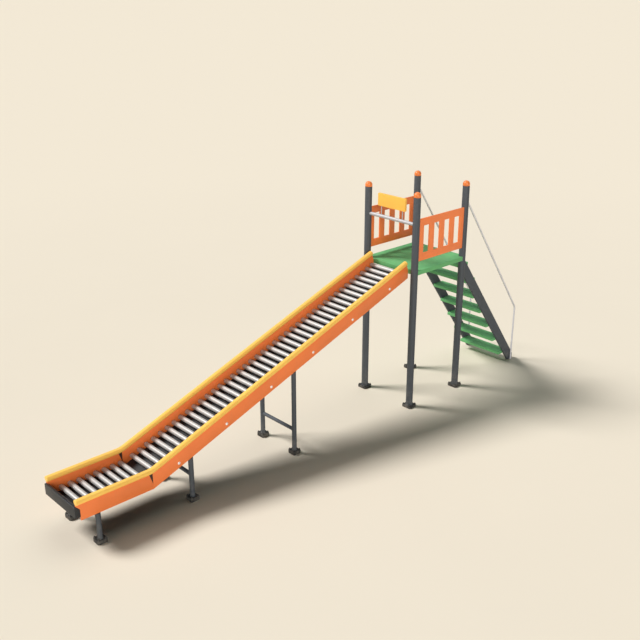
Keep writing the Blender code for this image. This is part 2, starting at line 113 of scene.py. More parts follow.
# Bevels of the edges
POST_EDGE = 0.0015
FOOT_EDGE = 0.0030
BOARD_EDGE = 0.004
TUBE_EDGE = 0.004
PANEL_EDGE = 0.0025
TRAY_EDGE = 0.0010
WEDGE_EDGE = 0.0008
ROLLER_EDGE = 0.0009

# Anchor bolts: radius and height of washer, nut and stud, how far they stand from a foot's middle,
# and how much further each is turned, in degrees
WASHER = (0.0120, 0.0024)
NUT = (0.0102, 0.0100)
STUD = (0.0060, 0.0080)
POST_ANCHOR_REACH = 0.058
LEG_ANCHOR_REACH = 0.045
ANCHOR_TURN = 17

# How far in and up the top rims of nut and stud slope
NUT_SLOPE = (0.0010, 0.0008)
STUD_SLOPE = (0.0012, 0.0010)

# Panel bolts: radius and height of washer and head, and the steps of the head's dome, in and out
PANEL_WASHER = (0.0185, 0.0024)
WASHER_EDGE = 0.0006
PANEL_HEAD = (0.0145, 0.0030)
HEAD_SINK = 0.0003
DOME_STEPS = ((0.0020, 0.0020), (0.0030, 0.0014), (0.0038, 0.0008), (0.0028, -0.0018))

# Weld beads: thickness by place, height over a foot, and how far tubes sink in their feet
POST_BEAD = 0.0040
LEG_BEAD = 0.0032
CROSSBAR_BEAD = 0.0030
ROD_BEAD = 0.0022
BEAD_RISE = 0.001
WELD_SINK = 0.0005

# Where beads and tube ends lie in the round tube that carries them, as a share of its radius
CROSSBAR_BEAD_SHARE = 0.93
ROD_BEAD_SHARE = 0.985
RAIL_END_SHARE = 0.6
RAIL_FLOOR_GAP = 0.0005

# Length of a leg before its top is cut, the caps' lower lip and how much it narrows
LEG_STOCK = 3.0
CAP_LIP = 0.002
CAP_TAPER = 0.97

# Board over the entry: radius of its corners, and its rods' distance from the middle and radius
BOARD_CORNER = 0.008
BOARD_ROD_Y = 0.193
BOARD_ROD_RADIUS = 0.007

# Rollers: half the drum's length, width of the sunk hub ring and radius of the axle's end
DRUM_HALF = 0.3092
HUB_RING = 0.0105
AXLE_RADIUS = 0.0098
RIM_SINK = 0.0030
HUB_RISE = 0.0022

# How far the hubs' plastic faces keep from the tube's depth, from the axle and from the tube's wall
HUB_MARGINS = (0.0005, 0.0007, 0.0003)

# Main light's power and colour, and each fill light's name, elevation, heading, spread, power, colour
MAIN_POWER = 3.54
MAIN_TINT = (1.0, 0.976, 0.978)
FILL_LIGHTS = (
    ("side_light", 60, 16, 57, 0.74, (0.92, 1.0, 0.99)),
    ("front_light", 16, 238, 30, 1.84, (1.0, 1.0, 1.0)),
)
DOME = (0.038, 0.041, 0.041, 1.0)
GLOSSY_DOME = (0.14, 0.14, 0.142, 1.0)

# Knee wedges, near-black sheets that paint the shade in the gap at the panels' joint: how deep the inner
# and outer face lie in the panel, and the gaps at its joint and slant
WEDGE_SINK = (0.0076, 0.0020)
WEDGE_JOINT_GAP = 0.0004
WEDGE_SLANT_GAP = 0.0006

# Camera, solved from the slide's corners: place, tilt below the horizon and heading, in degrees
CAMERA_PLACE = (-7.3765, -7.9314, 5.8141)
CAMERA_TILT = 21.4687
CAMERA_HEADING = -42.9269
CAMERA_LENS = 50.0
FLOOR_RADIUS = 400
FLOOR_DROP = 0.0005

# How much the floor is paler, as the camera sees it, than its paint: the dome behind it matches
FLOOR_GLOW = 1.09


def length_property(name, description, default):
    return bpy.props.FloatProperty(name=name, description=description, default=default, unit="LENGTH")


def angle_property(name, description, degrees):
    return bpy.props.FloatProperty(
        name=name, description=description, default=math.radians(degrees), subtype="ANGLE"
    )


def colour_property(name, description, default):
    return bpy.props.FloatVectorProperty(
        name=name, description=description, default=default, subtype="COLOR", min=0.0, max=1.0
    )


class SlideSizes(bpy.types.PropertyGroup):
    """Sizes that the solids leave open."""

    roller_radius: length_property(
        "Roller radius", "Radius of each roller's drum", node_size("exit_roller_1").x / 2
    )
    roller_wall: length_property(
        "Roller wall", "Wall of a roller's tube, as its open ends show it", 0.0026
    )
    tube_radius: length_property(
        "Top tube radius", "Radius of the tubes along the slide's sides", node_size("top_tube_near").y / 2
    )
    tube_bend: length_property("Top tube bend", "Radius of the top tubes' bend above the knee", 0.30)
    post_radius: length_property("Post radius", "Radius of the tower's posts", 0.0489)
    leg_radius: length_property("Leg radius", "Radius of the slide's legs", 0.0304)
    crossbar_radius: length_property("Crossbar radius", "Radius of the bar between two legs", 0.0235)
    rail_radius: length_property(
        "Handrail radius", "Radius of the stair's handrails", node_size("handrail_near").y / 2
    )
    rail_bend: length_property("Handrail bend", "Radius of the handrails' lower bend", 0.080)
    rail_knee: length_property(
        "Handrail knee", "Height of the corner that the handrails' lower bend rounds off", 0.891
    )
    rail_slope: angle_property("Handrail slope", "Steepness of the handrails' sloping run", 54.634)
    sheet_edge: length_property("Sheet edge", "Rounding of the coloured sheets' edges", 0.0035)
    post_foot: length_property("Post foot thickness", "Thickness of the posts' foot plates", 0.036)
    leg_foot: length_property("Leg foot thickness", "Thickness of the legs' foot plates", 0.048)
    foot_corner: length_property("Foot corner", "Radius of the foot plates' corners", 0.016)
    wedge_width: length_property("Knee wedge width", "Width of the dark wedges' upper ends", 0.045)
    wedge_height: length_property(
        "Knee wedge height", "Height of the dark wedges in the side panels at the knee", 0.1292
    )
    panel_bolt_drop: length_property(
        "Panel bolt drop", "Square distance of the side panels' bolts below the rollers' axes", 0.009
    )
    panel_bolt_first: length_property(
        "First panel bolt", "Place of the lowest panel bolt along the slide", -2.517
    )
    panel_bolt_step: length_property(
        "Panel bolt step", "Distance between two panel bolts along the floor", 0.696
    )
    panel_bolts: bpy.props.IntProperty(
        name="Panel bolts", description="Number of bolts on each side panel", default=6
    )
    crossbar_height: length_property(
        "Crossbar height", "Height of the crossbars between the knee's and the middle's legs", 0.338
    )
    exit_crossbar_height: length_property(
        "Exit crossbar height", "Height of the crossbar between the exit's legs", 0.340
    )
    sun_elevation: angle_property("Sun elevation", "Height of the main light above the horizon", 47.9)
    sun_heading: angle_property(
        "Sun heading", "Direction that the main light comes from, turned from +X", 130.3
    )
    sun_spread: angle_property("Sun spread", "Angle across the main light, which softens its shadows", 20)


class SlideColours(bpy.types.PropertyGroup):
    """Colours of the finishes."""

    steel: colour_property("Dark steel", "Powder coat of posts, legs and stringers", (0.059, 0.068, 0.078))
    foot: colour_property("Foot plates", "Paint of the foot plates", (0.017, 0.017, 0.0155))
    plate: colour_property("Dark plate", "Paint of the exit plate and the trays", (0.0138, 0.0155, 0.017))
    panel: colour_property("Orange sheet", "Side panels and guards", (0.86, 0.205, 0.048))
    cap: colour_property("Orange caps", "Caps on the posts", (0.83, 0.215, 0.045))
    tube: colour_property("Yellow coat", "Round tubes along the slide", (0.99, 0.57, 0.110))
    board: colour_property("Yellow sheet", "Board over the entry", (0.98, 0.505, 0.074))
    deck: colour_property("Green coat", "Deck and treads", (0.118, 0.395, 0.142))
    roller: colour_property("Roller steel", "Bright steel of the rollers", (0.515, 0.518, 0.50))
    # Painted light and shade: bar and handrails are the same stainless steel; the bar's is darkened to
    # hold back its bright highlight and the handrails' is paled to paint light on them
    bar: colour_property("Stainless steel", "Bar over the entry", (0.46, 0.455, 0.46))
    rail: colour_property("Pale stainless steel", "Handrails", (0.68, 0.665, 0.68))
    bolt: colour_property("Zinc", "Bolt heads", (0.95, 0.90, 0.85))
    floor: colour_property("Floor", "Studio floor", (0.82, 0.745, 0.612))


def colours():
    return bpy.context.scene.slide_colours


# Node helpers


def feed(tree, node, inputs):
    """Links or sets a node's inputs, by name or number."""
    for key, value in inputs.items():
        if isinstance(value, bpy.types.NodeSocket):
            tree.links.new(value, node.inputs[key])
        else:
            node.inputs[key].default_value = value


def add_node(tree, kind, inputs=None, **settings):
    """A shader node with its settings and inputs."""
    node = tree.nodes.new(kind)
    for key, value in settings.items():
        setattr(node, key, value)
    feed(tree, node, inputs or {})
    return node


def object_place(tree, scale=(1, 1, 1)):
    """Object coordinates, stretched for a pattern that runs one way."""
    source = add_node(tree, "ShaderNodeTexCoord").outputs["Object"]
    if tuple(scale) == (1, 1, 1):
        return source
    return add_node(tree, "ShaderNodeMapping", {"Vector": source, "Scale": scale}).outputs[0]


def noise(tree, place, scale, detail=4.0, roughness=0.55):
    values = {"Vector": place, "Scale": scale, "Detail": detail, "Roughness": roughness}
    return add_node(tree, "ShaderNodeTexNoise", values).outputs["Fac"]


def spread(tree, value, low, high, to_low=0.0, to_high=1.0):
    """Maps a value's range to another range, held at both ends."""
    values = {"Value": value, "From Min": low, "From Max": high, "To Min": to_low, "To Max": to_high}
    return add_node(tree, "ShaderNodeMapRange", values).outputs[0]


def blend(tree, share, first, second):
    """Mixes two colours."""
    node = add_node(tree, "ShaderNodeMix", data_type="RGBA")
    feed(tree, node, {0: share, 6: first, 7: second})
    return node.outputs[2]


def work(tree, kind, *values):
    """One step of arithmetic."""
    node = add_node(tree, "ShaderNodeMath", operation=kind)
    feed(tree, node, dict(enumerate(values)))
    return node.outputs[0]


def edge_share(tree, radius):
    """How close a point lies to a sharp edge, from 0 to 1."""
    rounded = add_node(tree, "ShaderNodeBevel", {"Radius": radius}, samples=4).outputs[0]
    true = add_node(tree, "ShaderNodeNewGeometry").outputs["True Normal"]
    likeness = add_node(tree, "ShaderNodeVectorMath", {0: rounded, 1: true}, operation="DOT_PRODUCT")
    return spread(tree, likeness.outputs["Value"], 0.995, 0.88)


def raise_surface(tree, height, strength, distance, below=None):
    """A bump from a height, on top of another bump where one is given."""
    values = {"Height": height, "Strength": strength, "Distance": distance}
    if below:
        values["Normal"] = below
    return add_node(tree, "ShaderNodeBump", values).outputs[0]


def shade(colour, factor):
    """A colour made darker or lighter, with full alpha."""
    return tuple(min(part * factor, 1.0) for part in colour) + (1.0,)


def vary(tree, pattern, low, high, colour, dark, light):
    """A colour that goes from darker to lighter with a pattern."""
    return blend(tree, spread(tree, pattern, low, high), shade(colour, dark), shade(colour, light))


def start_material(name, metallic=0.0):
    """A new material with its node tree, its shader and the place on the object."""
    material = bpy.data.materials.new(name)
    material.use_nodes = True
    tree = material.node_tree
    shader = tree.nodes["Principled BSDF"]
    shader.inputs["Metallic"].default_value = metallic
    return material, tree, shader, object_place(tree)


def join(tree, shader, **outputs):
    """Links the shader's inputs, each named with an underscore for a space."""
    feed(tree, shader, {key.replace("_", " "): value for key, value in outputs.items()})


# Finishes

DUST = (0.45, 0.40, 0.33, 1.0)
DIRT = (0.40, 0.24, 0.14, 1.0)


def powder_coat(name, colour, roughness=0.42, worn=(0.30, 0.29, 0.27), mottle=0.12):
    """Baked powder coat: orange peel, soft mottling, rubbed edges and dust low on the object."""
    material, tree, shader, place = start_material(name)
    clouds = noise(tree, place, 3.0, 5.0)
    specks = noise(tree, place, 60.0, 3.0)
    tone = vary(tree, clouds, 0.3, 0.7, colour, 1 - mottle, 1 + mottle)
    tone = blend(tree, spread(tree, specks, 0.55, 0.75, 0.0, 2 * mottle), tone, shade(colour, 0.70))
    height = add_node(tree, "ShaderNodeSeparateXYZ", {"Vector": place}).outputs["Z"]
    low = spread(tree, height, 0.35, 0.0)
    grime = work(tree, "MULTIPLY", low, spread(tree, noise(tree, place, 14.0, 6.0), 0.42, 0.75, 0.0, 0.30))
    tone = blend(tree, grime, tone, DUST)
    edge = edge_share(tree, 0.004)
    rub = work(tree, "MULTIPLY", edge, spread(tree, noise(tree, place, 25.0, 5.0), 0.48, 0.66, 0.0, 0.55))
    tone = blend(tree, rub, tone, (*worn, 1.0))
    rough = spread(tree, clouds, 0.25, 0.75, roughness - 0.07, roughness + 0.10)
    rough = work(tree, "ADD", rough, work(tree, "MULTIPLY", grime, 0.5))
    peel = raise_surface(tree, noise(tree, place, 420.0, 2.0), 0.10, 0.0006)
    dents = raise_surface(tree, clouds, 0.06, 0.004, peel)
    join(tree, shader, Base_Color=tone, Roughness=rough, Normal=dents)
    return material


def moulded_sheet(name, colour, roughness=0.42, pale=1.18):
    """Coloured plastic sheet: fine pebble grain, faded patches and pale sawn edges."""
    material, tree, shader, place = start_material(name)
    clouds = noise(tree, place, 2.2, 4.0)
    flecks = noise(tree, place, 110.0, 2.0)
    tone = vary(tree, clouds, 0.32, 0.70, colour, 0.93, 1.06)
    tone = blend(tree, spread(tree, flecks, 0.52, 0.80, 0.0, 0.18), tone, shade(colour, 0.80))
    streaks = noise(tree, object_place(tree, (7, 7, 0.9)), 2.5, 5.0)
    tone = blend(tree, spread(tree, streaks, 0.56, 0.80, 0.0, 0.10), tone, DIRT)
    edge = edge_share(tree, 0.003)
    tone = blend(tree, work(tree, "MULTIPLY", edge, 0.45), tone, shade(colour, pale))
    rough = spread(tree, clouds, 0.25, 0.75, roughness - 0.06, roughness + 0.08)
    cells = add_node(tree, "ShaderNodeTexVoronoi", {"Vector": place, "Scale": 520.0}).outputs["Distance"]
    grain = raise_surface(tree, cells, 0.14, 0.0004)
    waves = raise_surface(tree, clouds, 0.05, 0.004, grain)
    join(tree, shader, Base_Color=tone, Roughness=rough, Normal=waves)
    return material


def grip_coat(name, colour):
    """Thick green coat with a fine grit, scuffed paler where feet wear it."""
    material, tree, shader, place = start_material(name)
    clouds = noise(tree, place, 4.0, 6.0)
    scuffs = noise(tree, object_place(tree, (5.0, 1.2, 5.0)), 3.0, 8.0, 0.65)
    tone = vary(tree, clouds, 0.3, 0.7, colour, 0.88, 1.10)
    facing = add_node(tree, "ShaderNodeNewGeometry").outputs["Normal"]
    upward = add_node(tree, "ShaderNodeSeparateXYZ", {0: facing}).outputs["Z"]
    scuffs = spread(tree, scuffs, 0.50, 0.78, 0.0, 0.40)
    worn = work(tree, "MULTIPLY", spread(tree, upward, 0.7, 1.0), scuffs)
    tone = blend(tree, worn, tone, shade([part * 0.7 + 0.12 for part in colour], 1.0))
    edge = work(tree, "MULTIPLY", edge_share(tree, 0.004), spread(tree, clouds, 0.40, 0.65, 0.05, 0.45))
    tone = blend(tree, edge, tone, shade([part * 0.6 + 0.16 for part in colour], 1.0))
    rough = spread(tree, clouds, 0.25, 0.75, 0.50, 0.68)
    grit = add_node(tree, "ShaderNodeTexVoronoi", {"Vector": place, "Scale": 330.0}).outputs["Distance"]
    bumps = raise_surface(tree, grit, 0.35, 0.0006)
    join(tree, shader, Base_Color=tone, Roughness=rough, Normal=bumps)
    return material


def turned_steel(name, colour, roughness=0.50):
    """Bright rolled steel, polished in rings round the Y axis, with faint handling marks."""
    material, tree, shader, place = start_material(name, metallic=0.38)
    rings = noise(tree, object_place(tree, (3, 260, 3)), 3.0, 4.0)
    stains = noise(tree, place, 9.0, 6.0)
    tone = vary(tree, rings, 0.3, 0.7, colour, 0.92, 1.05)
    tone = blend(tree, spread(tree, stains, 0.52, 0.78, 0.0, 0.30), tone, shade(colour, 0.72))
    rough = spread(tree, rings, 0.25, 0.75, roughness - 0.06, roughness + 0.10)
    rough = work(tree, "ADD", rough, spread(tree, stains, 0.50, 0.80, 0.0, 0.12))
    lines = raise_surface(tree, rings, 0.12, 0.0002)
    join(tree, shader, Base_Color=tone, Roughness=rough, Normal=lines)
    return material


def satin_steel(name, colour, roughness=0.45):
    """Satin stainless tube: fine uneven grind, slightly duller where hands hold it."""
    material, tree, shader, place = start_material(name, metallic=0.15)
    grind = noise(tree, object_place(tree, (60, 240, 60)), 2.0, 3.0)
    hands = noise(tree, place, 5.0, 6.0)
    tone = vary(tree, grind, 0.3, 0.7, colour, 0.90, 1.06)
    tone = blend(tree, spread(tree, hands, 0.50, 0.80, 0.0, 0.25), tone, shade(colour, 0.70))
    rough = spread(tree, hands, 0.25, 0.75, roughness - 0.06, roughness + 0.12)
    lines = raise_surface(tree, grind, 0.10, 0.0003)
    join(tree, shader, Base_Color=tone, Roughness=rough, Normal=lines)
    return material


def zinc_plate(name, colour):
    """Bright zinc on bolts, with small crystalline patches."""
    material, tree, shader, place = start_material(name, metallic=0.30)
    patches = add_node(tree, "ShaderNodeTexVoronoi", {"Vector": place, "Scale": 160.0}).outputs["Color"]
    grey = add_node(tree, "ShaderNodeRGBToBW", {"Color": patches}).outputs[0]
    tone = vary(tree, grey, 0.2, 0.8, colour, 0.88, 1.04)
    rough = spread(tree, grey, 0.2, 0.8, 0.30, 0.48)
    bumps = raise_surface(tree, noise(tree, place, 300.0, 3.0), 0.10, 0.0003)
    join(tree, shader, Base_Color=tone, Roughness=rough, Normal=bumps)
    return material


def studio_floor(name, colour):
    """Matte pale floor with a barely seen unevenness, and painted shade: darker near the slide and paler
    far off.
    """
    material, tree, shader, place = start_material(name)
    clouds = noise(tree, place, 0.35, 3.0)
    tone = vary(tree, clouds, 0.3, 0.7, colour, 0.992, 1.006)
    # Painted shade: the floor is painted up to 3% paler from 5 to 16 m out from the scene's middle, so
    # round the slide it is darker, as shade there
    away = add_node(tree, "ShaderNodeVectorMath", {0: place}, operation="LENGTH").outputs["Value"]
    far = spread(tree, away, 5.0, 16.0, 0.0, 1.0)
    tone = blend(tree, far, tone, shade(colour, 1.03))
    rough = spread(tree, clouds, 0.2, 0.8, 0.88, 0.96)
    join(tree, shader, Base_Color=tone, Roughness=rough)
    shader.inputs["Specular IOR Level"].default_value = 0.0
    return material


FINISHES = {}


def finish(key):
    """The material for a finish, made the first time it is asked for."""
    if key not in FINISHES:
        tone = colours()
        makers = {
            "dark_steel": (powder_coat, "dark_steel_coat", tone.steel, 0.64),
            "foot_paint": (powder_coat, "foot_plate_paint", tone.foot, 0.55, (0.12, 0.11, 0.10)),
            "dark_plate": (powder_coat, "dark_plate_paint", tone.plate, 0.50, (0.20, 0.19, 0.18)),
            "orange_panel": (moulded_sheet, "orange_sheet", tone.panel),
            "orange_cap": (moulded_sheet, "orange_cap_plastic", tone.cap, 0.34, 1.08),
            "yellow_tube": (powder_coat, "yellow_coat", tone.tube, 0.36, (0.90, 0.55, 0.20), 0.04),
            "yellow_board": (moulded_sheet, "yellow_sheet", tone.board, 0.40, 1.05),
            "green_deck": (grip_coat, "green_grip_coat", tone.deck),
            "roller_steel": (turned_steel, "roller_steel_polish", tone.roller),
            # Painted shade and light: two copies of one satin stainless, darker for the bar and paler for
            # the handrails
            "bar_steel": (satin_steel, "satin_stainless", tone.bar),
            "rail_steel_painted_light": (satin_steel, "pale_satin_stainless", tone.rail),
            "zinc": (zinc_plate, "bright_zinc", tone.bolt),
            # Painted shade: near-black sheet of the knee wedges, for the shadow in the panels' joint gap
            "wedge_rubber": (moulded_sheet, "dark_wedge_rubber", (0.030, 0.016, 0.010), 0.60, 1.4),
            "hub_plastic": (moulded_sheet, "black_hub_plastic", (0.020, 0.020, 0.021), 0.45, 1.5),
        }
        maker, *values = makers[key]
        FINISHES[key] = maker(*values)
    return FINISHES[key]


# Modelling helpers


TURNS = {"Y": (math.pi / 2, 0, 0), "Z": (0, 0, 0)}

# How squarely a face looks along an axis to be taken as one that faces it
FACING = 0.9


def leave_edit():
    bpy.ops.object.mode_set(mode="OBJECT")


def edit_all():
    """Opens the active object in edit mode with everything selected."""
    bpy.ops.object.mode_set(mode="EDIT")
    bpy.ops.mesh.select_all(action="SELECT")


def let_go():
    """Leaves edit mode and selects nothing."""
    if bpy.context.object and bpy.context.object.mode != "OBJECT":
        leave_edit()
    bpy.ops.object.select_all(action="DESELECT")


def begin(context):
    """Starts an operator with nothing selected, and gives the slide's sizes."""
    let_go()
    return context.scene.slide_sizes


def finished():
    """Ends an operator with nothing selected."""
    let_go()
    return {"FINISHED"}


def take(obj):
    """Selects one object alone."""
    let_go()
    obj.select_set(True)
    bpy.context.view_layer.objects.active = obj


def settle(obj, name):
    """Names a new object and moves its place into its mesh."""
    obj.name = name
    obj.data.name = name
    bpy.ops.object.transform_apply(location=True, rotation=True, scale=True)
    return obj


def start_cylinder(name, radius, length, place, axis="Z", sides=32):
    let_go()
    bpy.ops.mesh.primitive_cylinder_add(
        vertices=sides, radius=radius, depth=length, location=place, rotation=TURNS[axis]
    )
    return settle(bpy.context.object, name)


def start_block(name, low, high):
    let_go()
    low, high = Vector(low), Vector(high)
    bpy.ops.mesh.primitive_cube_add(size=1, location=(low + high) / 2, scale=high - low)
    return settle(bpy.context.object, name)


def start_ring(name, radius, thickness, place, axis="Z", sides=32):
    """A weld bead: a thin ring round a tube."""
    let_go()
    bpy.ops.mesh.primitive_torus_add(
        major_radius=radius, minor_radius=thickness, major_segments=sides, minor_segments=8,
        location=place, rotation=TURNS[axis],
    )
    return settle(bpy.context.object, name)


def open_for(obj, kind):
    """Sets edit mode to one kind of element, with none selected."""
    take(obj)
    bpy.ops.object.mode_set(mode="EDIT")
    bpy.ops.mesh.select_mode(type=kind)
    bpy.ops.mesh.select_all(action="DESELECT")
    leave_edit()


def pick_faces(obj, test):
    """Opens an object in edit mode with the faces that pass a test selected."""
    open_for(obj, "FACE")
    for face in obj.data.polygons:
        face.select = test(face)
    bpy.ops.object.mode_set(mode="EDIT")


def round_corners(block, axis, radius):
    """Rounds the edges of a block that run along an axis: 0, 1 or 2."""
    open_for(block, "EDGE")
    verts = block.data.vertices
    for edge in block.data.edges:
        first, last = (verts[index].co[axis] for index in edge.vertices)
        edge.select = abs(first - last) > 0.004
    bpy.ops.object.mode_set(mode="EDIT")
    bpy.ops.mesh.bevel(offset=radius, segments=5, affect="EDGES")
    leave_edit()


def pull(x=0.0, y=0.0, z=0.0):
    """Extrudes the selected faces by a step."""
    bpy.ops.mesh.extrude_region_move(TRANSFORM_OT_translate={"value": (x, y, z)})


def soften(obj, width, segments=2, angle=30):
    """Rounds an object's sharp edges."""
    take(obj)
    rounding = obj.modifiers.new("rounded edges", "BEVEL")
    rounding.width = width
    rounding.segments = segments
    rounding.limit_method = "ANGLE"
    rounding.angle_limit = math.radians(angle)
    rounding.use_clamp_overlap = True
    bpy.ops.object.modifier_apply(modifier=rounding.name)
    return obj


def unite(name, parts):
    """Joins parts into one object with one name."""
    let_go()
    for part in parts:
        part.select_set(True)
    bpy.context.view_layer.objects.active = parts[0]
    bpy.ops.object.join()
    joined = bpy.context.object
    joined.name = name
    joined.data.name = name
    return joined


def copy_piece(source, name, place=Matrix.Identity(4)):
    """A copy with a mesh of its own, moved by a matrix."""
    copy = source.copy()
    copy.data = source.data.copy()
    copy.data.transform(place)
    copy.name = name
    copy.data.name = name
    bpy.context.scene.collection.objects.link(copy)
    return copy


def drop(obj):
    """Removes a model that was only copied from."""
    bpy.data.objects.remove(obj)


def face_out(obj):
    """Turns every face of an object outwards."""
    take(obj)
    edit_all()
    bpy.ops.mesh.normals_make_consistent(inside=False)
    leave_edit()


def dress(obj, key, body=BODY, nodes=(), angle=35, tidy=True):
    """Shades a finished piece, gives it its material and hangs it on its body."""
    take(obj)
    if tidy:
        face_out(obj)
    bpy.ops.object.shade_smooth_by_angle(angle=math.radians(angle))
    if not obj.data.materials:
        obj.data.materials.append(finish(key))
    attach(obj, body)
    if nodes:
        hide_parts(*nodes)
    return obj


def lay_plate(node, name, key, width, segments=2):
    """A plate in its solid's shape and place, with its facets merged and its edges rounded."""
    copy = copy_piece(frame["nodes"][node], name)
    copy.parent = None
    for mark in list(copy.keys()):
        del copy[mark]
    copy.data.materials.clear()
    open_for(copy, "VERT")
    edit_all()
    bpy.ops.mesh.remove_doubles(threshold=0.00002)
    bpy.ops.mesh.dissolve_limited(angle_limit=math.radians(1))
    leave_edit()
    dress(soften(copy, width, segments), key, nodes=[node])


def bent_bar(name, start, corner, end, y, radius, bend_radius, sides=28, steps=14):
    """A round tube in a plane across Y: straight, bent once and straight again."""
    start, corner, end = (Vector((x, y, z)) for x, z in (start, corner, end))
    first = (corner - start).normalized()
    second = (end - corner).normalized()
    turn = first.angle(second)
    reach = bend_radius * math.tan(turn / 2)
    inward = (second - first).normalized()
    centre = corner + inward * bend_radius / math.cos(turn / 2)
    axis = second.cross(first).normalized()
    let_go()
    facing = first.to_track_quat("Z", "Y").to_euler()
    bpy.ops.mesh.primitive_circle_add(
        vertices=sides, radius=radius, fill_type="NGON", location=start, rotation=facing
    )
    bar = settle(bpy.context.object, name)
    edit_all()
    pull(*(corner - first * reach - start))
    bpy.ops.mesh.spin(steps=steps, angle=turn, center=centre, axis=axis)
    pull(*(end - corner - second * reach))
    leave_edit()
    return bar


# Bolts


def slope_rim(obj, inward, upward):
    """Slopes the rim of the top face a little."""
    pick_faces(obj, lambda face: face.normal.z > FACING)
    bpy.ops.mesh.inset(thickness=inward)
    bpy.ops.transform.translate(value=(0, 0, upward))
    leave_edit()


def model_nut(name):
    """An anchor bolt as it shows on a foot plate: washer, six-sided nut and the stud's end."""
    radius, thickness = WASHER
    washer = start_cylinder(name, radius, thickness, (0, 0, thickness / 2), sides=20)
    radius, height = NUT
    nut = start_cylinder("nut", radius, height, (0, 0, thickness + height / 2), sides=6)
    slope_rim(nut, *NUT_SLOPE)
    top = thickness + height
    radius, height = STUD
    stud = start_cylinder("stud", radius, height, (0, 0, top + height / 2), sides=16)
    slope_rim(stud, *STUD_SLOPE)
    return unite(name, [washer, nut, stud])


def model_button_bolt(name):
    """A round-head bolt with its washer, on a face at y = 0 that looks along -Y."""
    radius, thickness = PANEL_WASHER
    disc = start_cylinder(name, radius, thickness, (0, -thickness / 2, 0), "Y", 28)
    soften(disc, WASHER_EDGE, 1)
    radius, height = PANEL_HEAD
    middle = (0, HEAD_SINK - thickness - height / 2, 0)
    dome = start_cylinder("dome", radius, height, middle, "Y", 28)
    pick_faces(dome, lambda face: face.normal.y < -FACING)
    for inward, outward in DOME_STEPS:
        bpy.ops.mesh.inset(thickness=inward)
        bpy.ops.transform.translate(value=(0, -outward, 0))
    leave_edit()
    return unite(name, [disc, dome])


# Operators, one for each piece or group of like pieces


class Undoable:
    """What the operators share"""

    bl_options = {"REGISTER", "UNDO"}


class SLIDE_OT_posts(Undoable, bpy.types.Operator):
    """Model the four round posts with a weld bead round each foot"""

    bl_idname = "slide.posts"
    bl_label = "Posts"

    def execute(self, context):
        size = begin(context)
        for place in POST_PLACES:
            node = f"post_{place}"
            low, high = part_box(node)
            x, y, _ = node_middle(node)
            foot = low.z + size.post_foot - WELD_SINK
            middle = (x, y, (high.z + foot) / 2)
            shaft = start_cylinder(f"{node}_shaft", size.post_radius, high.z - foot, middle, sides=48)
            soften(shaft, POST_EDGE)
            bead = start_ring("bead", size.post_radius, POST_BEAD, (x, y, foot + BEAD_RISE), sides=48)
            dress(unite(f"{node}_shaft", [shaft, bead]), "dark_steel", nodes=[node])
        return finished()


class SLIDE_OT_post_feet(Undoable, bpy.types.Operator):
    """Model the square foot plates of the posts and of the slide's legs"""

    bl_idname = "slide.post_feet"
    bl_label = "Foot plates"

    def execute(self, context):
        size = begin(context)
        for place in POST_PLACES:
            node = f"post_{place}"
            low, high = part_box(node)
            self.foot(f"{node}_foot", node, low, (high.x, high.y, size.post_foot), size.foot_corner)
        for node in LEG_FRAMES:
            reach = Vector((1, 1, 0)) * node_size(node).x / 2
            for side, _, middle in leg_middles(node):
                top = middle + reach + Vector((0, 0, size.leg_foot))
                self.foot(f"{node}_foot_{side}", node, middle - reach, top, size.foot_corner)
        return finished()

    def foot(self, name, node, low, high, corner):
        """A square plate with round corners and softened edges."""
        plate = start_block(name, low, high)
        round_corners(plate, 2, corner)
        soften(plate, FOOT_EDGE, 3)
        dress(plate, "foot_paint", nodes=[node])


class SLIDE_OT_anchor_bolts(Undoable, bpy.types.Operator):
    """Model the anchor bolts on the foot plates"""

    bl_idname = "slide.anchor_bolts"
    bl_label = "Anchor bolts"

    def execute(self, context):
        size = begin(context)
        model = model_nut("anchor_bolt_model")
        for place in POST_PLACES:
            node = f"post_{place}"
            self.four(model, f"{node}_anchors", node_middle(node), POST_ANCHOR_REACH, size.post_foot)
        for node in LEG_FRAMES:
            for side, _, middle in leg_middles(node):
                self.four(model, f"{node}_anchors_{side}", middle, LEG_ANCHOR_REACH, size.leg_foot)
        drop(model)
        return finished()

    def four(self, model, name, middle, reach, top):
        """One bolt at each corner of a foot plate, each turned a little further."""
        parts = []
        for index, (x_sign, y_sign) in enumerate(((-1, -1), (-1, 1), (1, -1), (1, 1))):
            place = Vector((middle.x + x_sign * reach, middle.y + y_sign * reach, top))
            turn = Matrix.Rotation(math.radians(ANCHOR_TURN * (index + 1)), 4, "Z")
            parts.append(copy_piece(model, "bolt", Matrix.Translation(place) @ turn))
        dress(unite(name, parts), "foot_paint", angle=30)


class SLIDE_OT_caps(Undoable, bpy.types.Operator):
    """Model the round caps on the posts"""

    bl_idname = "slide.caps"
    bl_label = "Caps"

    def execute(self, context):
        begin(context)
        for place in POST_PLACES:
            node = f"cap_{place}"
            low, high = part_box(node)
            radius = (high.y - low.y) / 2
            x, y, _ = node_middle(node)
            rim = (x, y, high.z - radius)
            let_go()
            bpy.ops.mesh.primitive_uv_sphere_add(segments=40, ring_count=24, radius=radius, location=rim)
            cap = settle(bpy.context.object, f"{node}_dome")
            edit_all()
            bpy.ops.mesh.bisect(plane_co=rim, plane_no=(0, 0, 1), use_fill=True, clear_inner=True)
            leave_edit()
            pick_faces(cap, lambda face: face.normal.z < -FACING)
            pull(z=low.z + CAP_LIP - rim[2])
            pull(z=-CAP_LIP)
            bpy.ops.transform.resize(value=(CAP_TAPER, CAP_TAPER, 1), center_override=(x, y, low.z))
            leave_edit()
            dress(cap, "orange_cap", nodes=[node], angle=50)
        return finished()


